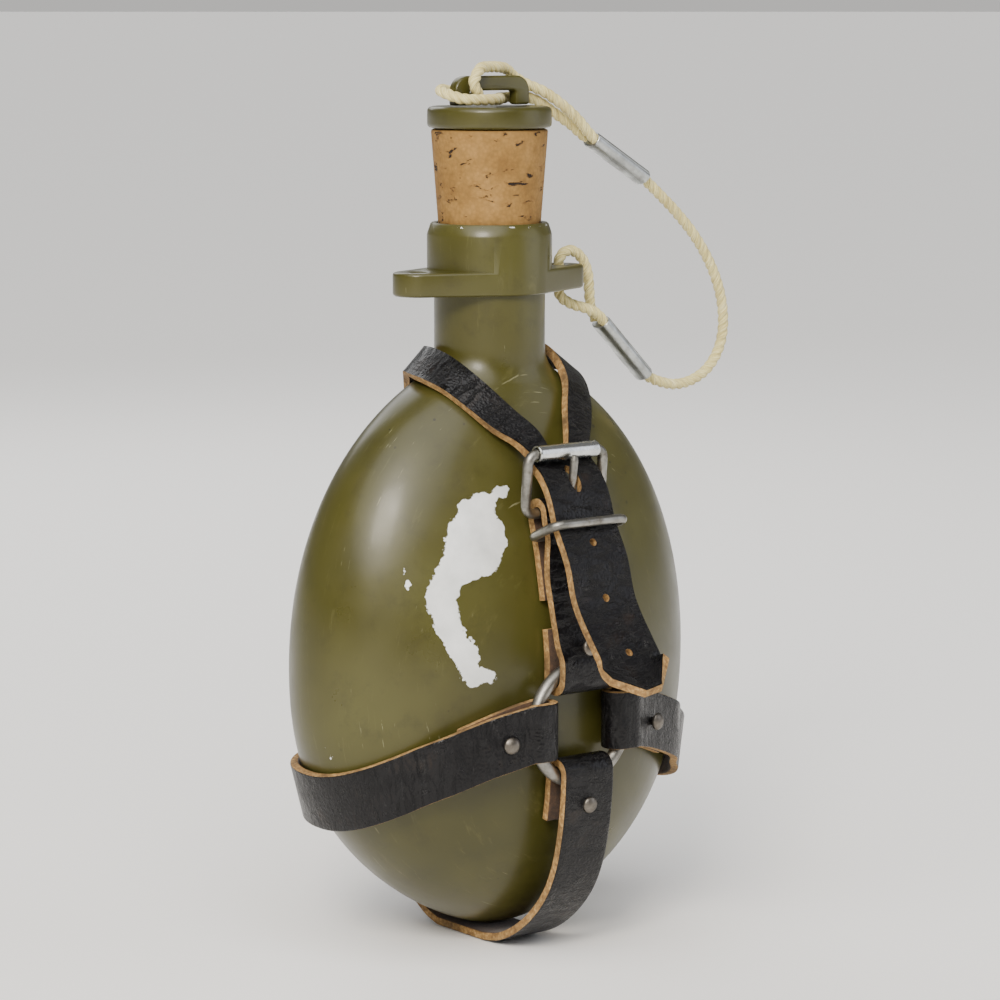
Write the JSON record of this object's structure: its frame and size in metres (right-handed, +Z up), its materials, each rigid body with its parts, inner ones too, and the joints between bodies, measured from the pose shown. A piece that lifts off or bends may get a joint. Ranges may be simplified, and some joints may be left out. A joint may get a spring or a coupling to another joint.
{
  "type": "canteen",
  "caption": "Oval metal canteen with a cork stopper on a cord lanyard, held in a leather harness with a roller buckle and a belt loop.",
  "frame": {"origin": "on the resting plane, under the middle of the flask's oval section", "axes": "+Z up along the neck, X along the broad width of the flask with the lanyard at +X, the buckle faces -Y"},
  "size_m": [0.1577, 0.1291, 0.2538],
  "materials": {
    "olive_paint": "satin gloss olive paint, chipped to bare metal",
    "cork": "natural cork with dark pores",
    "cord": "three-strand twisted natural fibre",
    "leather": "black dyed grain, tan cut edges",
    "steel": "dull drawn wire and domed rivets",
    "aluminium": "dull, crimped"
  },
  "bodies": {
    "bottle": {"bottle_shell": "olive_paint", "neck_collar": "olive_paint", "lanyard_run": "cord", "lower_ferrule": "aluminium", "lanyard_lower_eye": "cord", "yoke_strap": "leather", "buckle_strap": "leather", "girth_strap": "leather", "bottom_strap": "leather", "belt_loop": "leather", "rivet_buckle_lower": "steel", "rivet_buckle_upper": "steel", "rivet_girth_left": "steel", "rivet_girth_right": "steel", "rivet_bottom_front": "steel", "rivet_rear_girth": "steel", "rivet_rear_lower": "steel", "rivet_loop_upper": "steel"},
    "stopper": {"stopper_cap": "olive_paint", "cap_bail": "olive_paint", "cork": "cork", "stopper_stud": "aluminium", "stopper_washer": "aluminium", "stopper_nut": "aluminium", "lanyard_upper_eye": "cord", "upper_ferrule": "aluminium"},
    "buckle": {"buckle_frame": "steel"},
    "roller": {"buckle_roller": "steel"},
    "prong": {"buckle_prong": "steel"},
    "keeper": {"keeper_loop": "steel"},
    "ring": {"harness_ring": "steel"}
  },
  "joints": [
    {"name": "stopper_lift", "type": "slide", "parent": "bottle", "child": "stopper", "axis": [0, 0, 1], "range_m": [0, 0.05]},
    {"name": "buckle_pivot", "type": "hinge", "parent": "bottle", "child": "buckle", "pos_m": [-0.0015, -0.0354, 0.1285], "axis": [1, 0, 0], "range_deg": [0, 3]},
    {"name": "roller_spin", "type": "hinge", "parent": "buckle", "child": "roller", "pos_m": [-0.0015, -0.0369, 0.1455], "axis": [1, 0, 0], "continuous": true},
    {"name": "prong_pivot", "type": "hinge", "parent": "buckle", "child": "prong", "pos_m": [-0.0015, -0.0354, 0.1285], "axis": [1, 0, 0], "range_deg": [0, 1]},
    {"name": "keeper_tilt", "type": "hinge", "parent": "bottle", "child": "keeper", "pos_m": [-0.0015, -0.0368, 0.122], "axis": [1, 0, 0], "range_deg": [-12, 0]},
    {"name": "ring_turn", "type": "hinge", "parent": "bottle", "child": "ring", "pos_m": [-0.0015, -0.0434, 0.0689], "axis": [0, 1, 0], "continuous": true}
  ]
}
